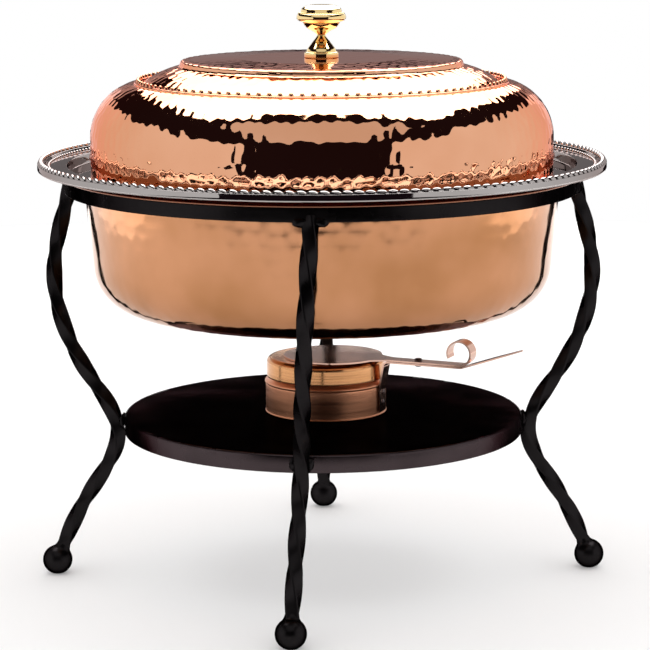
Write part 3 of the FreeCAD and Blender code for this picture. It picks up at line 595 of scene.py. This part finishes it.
def make_welds(name, node, radius, height, size, beside):
    """Uneven lumps of weld metal on both sides of each leg.

    size is a lump's half-sizes and beside how far its middle is from the leg's middle line.
    """
    points, faces = [], []
    rows, around = 12, 20
    waves, uneven = 1.7, 0.22
    for leg, turn in LEG_TURNS.items():
        for side in (-1, 1):
            start = len(points)
            for i in range(rows + 1):
                tilt = math.pi * (i / rows - 0.5)
                for j in range(around):
                    a = 2 * math.pi * j / around
                    unit = Vector((math.cos(tilt) * math.cos(a), math.cos(tilt) * math.sin(a),
                                   math.sin(tilt)))
                    swell = 1 + uneven * noise.noise(unit * waves
                                                     + Vector((turn, side, height)))
                    place = np.array([radius + unit.x * size[0] * swell,
                                      lean_at(leg, height) + side * beside
                                      + unit.y * size[1] * swell,
                                      height + unit.z * size[2] * swell])
                    points.append(turned(place[None], turn)[0])
            faces.append(grid_faces(rows + 1, around, False) + start)
    piece = build_mesh(name, points, np.concatenate(faces), [], [BLACK_IRON])
    return finished(piece, "stand", "black_iron", node)


# ---------------------------------------------------------------- pans

def make_water_pan():
    """Copper pan, lightly planished, with a rolled edge on its flange."""
    low, high = low_and_high("water_pan")
    bottom, edge, top = low[2], high[0], RING_TOP
    flat, knuckle, side, side_low, mouth, roll = 134.6, 36.0, 170.45, 236.7, 176.5, 1.6
    outside = outline([(0, bottom), (flat, bottom, knuckle), (side, side_low), (mouth, top),
                       (edge - roll / 2, top)], 2.6, 1.6)
    lip = outline([(edge - roll / 2, top, roll * 0.51), (edge - roll / 2, top + roll),
                   (edge - roll, top + SHEET), (mouth - SHEET, top + SHEET),
                   (side - SHEET, side_low, -(knuckle - SHEET)), (flat, bottom + SHEET),
                   (0, bottom + SHEET)], 1.4, 0.5)

    def weaker_on_the_side(points):
        """Full depth up to a height of 210, and about a third of it above 240."""
        return 0.35 + 0.65 * np.clip((240 - points[:, 2]) / 30, 0, 1)

    push = hammering(outside, 11.0, 0.06, 11, weaker_on_the_side)
    # the rolled edge, the flange's top and the inside take the darker copper: painted shade under
    # the food pan's flange
    piece = spin("water_pan_body", outside, lip[1:], 512, [PAN_COPPER, SHADED_EDGE_COPPER], push)
    return finished(piece, "water_pan", "pan_copper", "water_pan")


def make_food_pan():
    """Deep pan, copper outside and bright inside, with its rope border and its row of beads.

    A sunk seat holds the lid.  Outside it runs a flat flange, which ends in a turned-down hem.
    """
    low, high = low_and_high("food_pan")
    bottom, rim, hem = low[2], high[0], high[2]
    seat = low_and_high("lid_shell")[0][2] - SHEET
    well, knuckle, seat_edge, wall_top = 166.0, 22.0, 188.2, 189.5
    flange, flange_low, hem_low, hem_inner = 205.6, 311.4, 309.3, 204.6
    hem_round = hem_slope = 1.2
    flange_top = flange_low + SHEET
    outside = outline([(0, bottom), (well - knuckle, bottom, knuckle), (well, bottom + knuckle),
                       (well, seat), (seat_edge, seat), (wall_top, flange_low),
                       (flange, flange_low), (flange, hem_low)], 3.0, 0.5)
    bright = outline([(flange, hem_low), (rim - hem_round, hem_low, hem_round),
                      (rim, hem_low + hem_round), (rim, hem), (hem_inner, hem),
                      (hem_inner - hem_slope, flange_top), (wall_top - SHEET, flange_top),
                      (seat_edge - SHEET, seat + SHEET), (well + 0.8, seat + SHEET, 2.0),
                      (well - SHEET, seat - 0.8),
                      (well - SHEET, bottom + knuckle, -(knuckle - SHEET)),
                      (well - knuckle, bottom + SHEET), (0, bottom + SHEET)], 1.6, 0.35)
    # the outside takes the dark red-brown copper: painted shade under the flange and the hem
    piece = spin("food_pan_body", outside, bright[1:], 360, [SHADED_UNDER_COPPER, NICKEL])
    finished(piece, "food_pan", "nickel", "food_pan")
    low, high = low_and_high("rim_rope_border")
    half_width = 2.2
    finished(rope_ring("rim_rope", high[0] - half_width, half_width, low[2],
                       high[2] - low[2], 168, 0.45), "food_pan", "nickel", "rim_rope_border")
    # the gaps between these beads take the near-black nickel: painted shade
    finished(bead_ring("rim_inner_beads", 201.6, 1.1, flange_top - 0.1, 1.3, 260,
                       [NICKEL, NICKEL_GAP_SHADE], 0.82), "food_pan", "nickel")


def rope_ring(name, radius, half_width, base, crest, lobes, slant):
    """Half-round border worked into slanted lobes like a rope.

    It stands crest high on a surface at base; slant is the lean of a lobe, in lobes.
    """
    fullness, thinnest, narrowest = 1.02, 0.06, 0.35

    def place(turn, share):
        a = share * math.pi
        across = np.abs((lobes * turn / (2 * math.pi) + slant * share) % 1.0 - 0.5) * 2
        size = np.sqrt(np.clip(fullness - across ** 2, thinnest, 1))
        width = narrowest + (1 - narrowest) * size
        return radius + half_width * np.cos(a) * width, base + crest * np.sin(a) * size, size

    # the gaps between the lobes take the near-black nickel: painted shade
    return ring_of_sections(name, lobes * 12, 13, place, [NICKEL, NICKEL_GAP_SHADE])


def bead_ring(name, radius, half_width, base, crest, beads, materials, bead_share):
    """Row of half-round beads, joined by a thin neck of metal.

    bead_share is a bead's length as a share of the spacing.
    """
    thinnest = 0.03

    def place(turn, share):
        a = share * math.pi
        across = np.abs((beads * turn / (2 * math.pi)) % 1.0 - 0.5) * 2 / bead_share
        size = np.sqrt(np.clip(1 - across ** 2, thinnest, 1))
        return radius + half_width * np.cos(a) * size, base + crest * np.sin(a) * size, size

    return ring_of_sections(name, beads * 12, 9, place, materials)


# ---------------------------------------------------------------- lid and knob

def make_lid():
    """Hammered dome: upright side, round shoulder, ledge with its pearls, cove, raised top."""
    low, high = low_and_high("lid_shell")
    seat, top, radius = low[2], high[2], high[0]
    shoulder_low, shoulder, ledge, flat_radius = 332.0, 41.0, 372.2, 60.0
    outside = outline([(radius - SHEET, seat), (radius, seat), (radius, shoulder_low, shoulder),
                       (139.4, 371.9), (138.9, 371.2), (138.2, 371.4, 1.2), (136.5, 373.0),
                       (136.2, 372.4), (131.5, 372.4, 76.0), (106.5, 383.4, -3.0),
                       (104.3, 385.8, 2.2), (102.4, 388.1), (flat_radius, top), (0, top)],
                      1.75, 0.8)[1:]
    inside = outline([(0, top - SHEET), (flat_radius, top - SHEET), (101.9, 386.9), (103.1, 385.2),
                      (104.6, 382.9), (106.2, 382.2, -74.8), (131.0, ledge - SHEET),
                      (137.6, ledge - SHEET, -(shoulder - SHEET)),
                      (radius - SHEET, shoulder_low), (radius - SHEET, seat)], 5.0, 0.5)
    hammered_path = np.concatenate([inside[-1:], outside])

    def weaker_on_top(points):
        """Nothing at the hem and at the pearls' ledge, and little on the raised top."""
        r = np.hypot(points[:, 0], points[:, 1])
        raised_top = np.clip((102 - r) / 6, 0, 1)
        pearls = np.clip(1 - np.abs(r - 136.0) / 6.0, 0, 1)
        above_hem = np.clip((points[:, 2] - seat) / 3, 0, 1)
        return (1 - 0.82 * raised_top) * (1 - pearls) * above_hem

    push = hammering(hammered_path, 8.6, 0.13, 7, weaker_on_top)
    piece = spin_lid("lid_dome_hammered", outside, inside, 640, push)
    finished(piece, "lid", "hammered_copper", "lid_shell")
    # the gaps between the pearls take the dark copper: painted shade
    pearls = bead_ring("lid_bead_border", 135.2, 1.45, 373.0, 2.6, 110,
                       [LID_COPPER, COPPER_GAP_SHADE], 0.5)
    finished(pearls, "lid", "hammered_copper", "lid_bead_ring")


def spin_lid(name, outside, inside, around, push):
    """The lid's sheet: outside from the hem to the middle, inside back down to the hem."""
    outer, inner = revolve(outside[:-1], around), revolve(inside[1:-1], around)
    n_out, n_in = len(outer), len(inner)
    depth = push(outer.reshape(-1, 3)).reshape(n_out, around, 1)
    outer += revolve(outward(outside, False)[:-1], around) * depth
    points = np.concatenate([outer.reshape(-1, 3), inner.reshape(-1, 3)])
    column = np.arange(around)
    after = (column + 1) % around
    last_row = (n_out + n_in - 1) * around
    hem = np.stack([last_row + column, last_row + after, after, column], axis=1)
    quads = np.concatenate([grid_faces(n_out, around, False),
                            grid_faces(n_in, around, False) + n_out * around, hem])
    pole_out, pole_in = len(points), len(points) + 1
    points = np.concatenate([points, [[0, 0, outside[-1][1]], [0, 0, inside[0][1]]]])
    fans = np.concatenate([
        np.stack([np.full(around, pole_out), (n_out - 1) * around + column,
                  (n_out - 1) * around + after], axis=1),
        np.stack([np.full(around, pole_in), n_out * around + after, n_out * around + column],
                 axis=1)])
    slots = np.concatenate([np.zeros((n_out - 1) * around), np.ones((n_in - 1) * around),
                            np.zeros(around), np.zeros(around), np.ones(around)])
    return build_mesh(name, points, quads, fans, [LID_COPPER, TIN_LINING], slots)


def make_knob():
    """Turned brass knob: ringed foot, bell, waist, bowl, lip and crown with a knurled ring."""
    low, high = low_and_high("knob")
    foot, top, lip = low[2], high[2], high[0]
    path = outline([(0, foot), (12.6, foot), (12.6, foot + 3.0, 1.2), (11.4, foot + 4.2),
                    (11.0, foot + 4.3), (11.0, foot + 4.9), (10.2, foot + 6.6),
                    (6.1, foot + 12.0, -16.0), (2.9, 406.2), (6.7, 409.2, 11.0),
                    (lip - 4.4, 415.6), (lip - 1.2, 416.6), (lip, 418.0), (lip, 420.0),
                    (17.1, 421.9), (15.7, 422.2), (15.4, 423.0), (14.6, 425.2), (12.4, 426.9),
                    (8.5, 428.0), (1.0, top), (0, top)], 0.7, 0.6)
    finished(spin("knob_turned", path, [], 128, [BRASS]), "lid", "brass", "knob")
    # the gaps of the knurled ring take the dark brass: painted shade
    finished(bead_ring("knob_knurl", 16.2, 0.75, 421.9, 0.9, 58, [BRASS, BRASS_GAP_SHADE], 0.8),
             "lid", "brass")
    refinish("knob_screw", DARK_RIVET, 0.2)
    refinish("knob_washer", TINPLATE, 0.2)


# ---------------------------------------------------------------- burner

def at_burner(piece):
    """Move a piece made round the origin onto the burner's axis, standing on the shelf."""
    low, high = low_and_high("burner_cup")
    shelf = low_and_high("shelf_plate")[1][2]
    middle = Vector(((low[0] + high[0]) / 2, (low[1] + high[1]) / 2, shelf)) * MM
    piece.data.transform(Matrix.Translation(middle))
    return piece


def make_burner():
    """Cup, cap and tin turned round the burner's own axis; the flat strips keep CAD's shapes."""
    wall, neck, sheet = 45.2, 43.2, 0.8
    cup = outline([(0, 0), (wall, 0, 0.75), (wall, 1.4), (wall, 21.2), (45.0, 21.8),
                   (45.7, 22.3, 1.6), (45.6, 24.0), (43.5, 26.4), (neck, 27.0), (neck, 33.0),
                   (neck - sheet, 33.0), (neck - sheet, 25.8), (wall - sheet, 22.6),
                   (wall - sheet, sheet), (0, sheet)], 1.5, 0.35)
    finished(at_burner(spin("burner_cup_turned", cup, [], 220, [CUP_COPPER])), "burner",
             "burner_copper", "burner_cup")
    skirt, top, rounding, mouth = 44.4, 41.6, 4.0, 27.0
    cap = outline([(skirt - sheet, 26.9), (skirt, 26.9), (skirt, top - rounding, rounding),
                   (skirt - rounding, top), (mouth + sheet, top), (mouth, 41.0), (mouth, 38.6),
                   (mouth + sheet, 38.6), (mouth + sheet, top - sheet),
                   (skirt - rounding, top - sheet, sheet - rounding),
                   (skirt - sheet, top - rounding)], 1.2, 0.3, closed=True)
    finished(at_burner(spin("burner_cap_turned", cap, [], 220, [BURNER_COPPER])), "burner",
             "burner_copper", "burner_cap")
    can = outline([(0, sheet), (41.0, sheet), (41.0, 2.0), (40.5, 2.6), (40.5, 34.6), (41.0, 35.2),
                   (41.0, 36.8), (39.6, 36.8), (39.6, 34.8), (18.0, 34.8), (18.0, 36.2),
                   (17.0, 36.2), (17.0, 34.2), (40.0, 34.2), (40.0, 1.4), (0, 1.4)], 2.0, 0.25)
    finished(at_burner(spin("fuel_tin", can, [], 120, [TINPLATE])), "burner", "tinplate",
             "fuel_can")
    refinish("handle_strip", STRIP_COPPER, 0.25)
    refinish("snuffer", STRIP_COPPER, 0.25)
    refinish("strip_rivets", DARK_RIVET, 0.15)
    refinish("pivot_rivet", DARK_RIVET, 0.2)


# ---------------------------------------------------------------- stage, light and camera

def soft_box(name, place, aim, size, radiance, reflected=True):
    """Rectangular studio light: either seen only in reflections, or only lighting matt things."""
    data = bpy.data.lights.new(name, "AREA")
    data.shape, data.size, data.size_y = "RECTANGLE", *size
    data.energy = radiance * math.pi * size[0] * size[1]
    lamp = bpy.data.objects.new(name, data)
    lamp.location = place
    lamp.rotation_euler = (Vector(aim) - Vector(place)).to_track_quat("-Z", "Y").to_euler()
    lamp.visible_camera = False
    lamp.visible_glossy, lamp.visible_diffuse = reflected, not reflected
    bpy.context.scene.collection.objects.link(lamp)


def make_stage():
    """Pale round floor, white background and the studio lights."""
    floor_radius, count = 1500.0, 96
    ring = [(floor_radius * math.cos(2 * math.pi * i / count),
             floor_radius * math.sin(2 * math.pi * i / count), 0) for i in range(count)]
    fan = [(count, i, (i + 1) % count) for i in range(count)]
    pale = new_material("PaleFloor", Roughness=0.8, Base_Color=(0.90, 0.895, 0.89, 1),
                        Specular_IOR_Level=0.1)[0]
    floor = build_mesh("floor", ring + [(0, 0, 0)], [], fan, [pale])
    floor.location = (0, 0.45, -0.0003)  # more of it behind the dish, and just below the feet

    world = bpy.data.worlds.new("Studio")
    bpy.context.scene.world = world
    world.use_nodes = True
    tree = world.node_tree
    # the camera sees a white background, and everything else a faint pink one
    seen, light = tree.nodes["Background"], tree.nodes.new("ShaderNodeBackground")
    seen.inputs["Color"].default_value = (1, 1, 1, 1)
    light.inputs["Color"].default_value = (1.0, 0.55, 0.75, 1)
    light.inputs["Strength"].default_value = 0.014
    path, mix = tree.nodes.new("ShaderNodeLightPath"), tree.nodes.new("ShaderNodeMixShader")
    tree.links.new(path.outputs["Is Camera Ray"], mix.inputs["Fac"])
    tree.links.new(light.outputs["Background"], mix.inputs[1])
    tree.links.new(seen.outputs["Background"], mix.inputs[2])
    tree.links.new(mix.outputs["Shader"], tree.nodes["World Output"].inputs["Surface"])

    soft_box("TopBox", (0, 2.415, 1.55), (0, 2.415, 0), (1.92, 5.17), 5.4)
    soft_box("LeftCard", (-1.2, 1.675, 0.485), (0, 1.675, 0.485), (6.65, 0.97), 1.0)
    soft_box("RightCard", (1.2, 1.675, 0.57), (0, 1.675, 0.57), (6.65, 1.14), 1.0)
    soft_box("FrontBox", (0, -1.37, 1.55), (0, -1.37, 0), (1.9, 1.66), 0.8)
    soft_box("BackCardLow", (0, 4.0, 0.66), (0, 0, 0.66), (3.5, 0.44), 0.25)
    soft_box("BackCardHigh", (0, 4.0, 1.25), (0, 0, 1.25), (3.5, 0.54), 0.5)
    soft_box("Overhead", (0, 0, 3.2), (0, 0, 0), (5.0, 5.0), 1.05, reflected=False)
    fills, distance, height = 8, 2.6, 0.6
    for side in range(fills):
        turn = 2 * math.pi * side / fills
        place = (math.cos(turn) * distance, math.sin(turn) * distance, height)
        soft_box(f"Fill{side}", place, (0, 0, height), (2.1, 1.2), 4.4, reflected=False)


def make_camera():
    """Camera at the viewing angle: place in metres, heading, tilt down and slight roll."""
    place = Vector((0.0815, -1.9409, 0.5385))
    heading = Vector((-0.0411, 0.9992, 0)).normalized()
    tilt, roll = math.radians(10.19), math.radians(-0.27)
    ahead = heading * math.cos(tilt) - Vector((0, 0, math.sin(tilt)))
    right = Vector((heading.y, -heading.x, 0))
    up = right.cross(ahead)
    side = right * math.cos(roll) + up * math.sin(roll)
    top = up * math.cos(roll) - right * math.sin(roll)
    data = bpy.data.cameras.new("Camera")
    data.sensor_width, data.lens = 36.0, 145.83
    data.clip_end = 50
    camera = bpy.data.objects.new("Camera", data)
    matrix = Matrix((side, top, -ahead)).transposed().to_4x4()
    matrix.translation = place
    camera.matrix_world = matrix
    bpy.context.scene.collection.objects.link(camera)
    bpy.context.scene.camera = camera
    bpy.context.scene.view_settings.view_transform = "Standard"


make_camera()
make_stage()
make_stand()
make_water_pan()
make_food_pan()
make_lid()
make_knob()
make_burner()
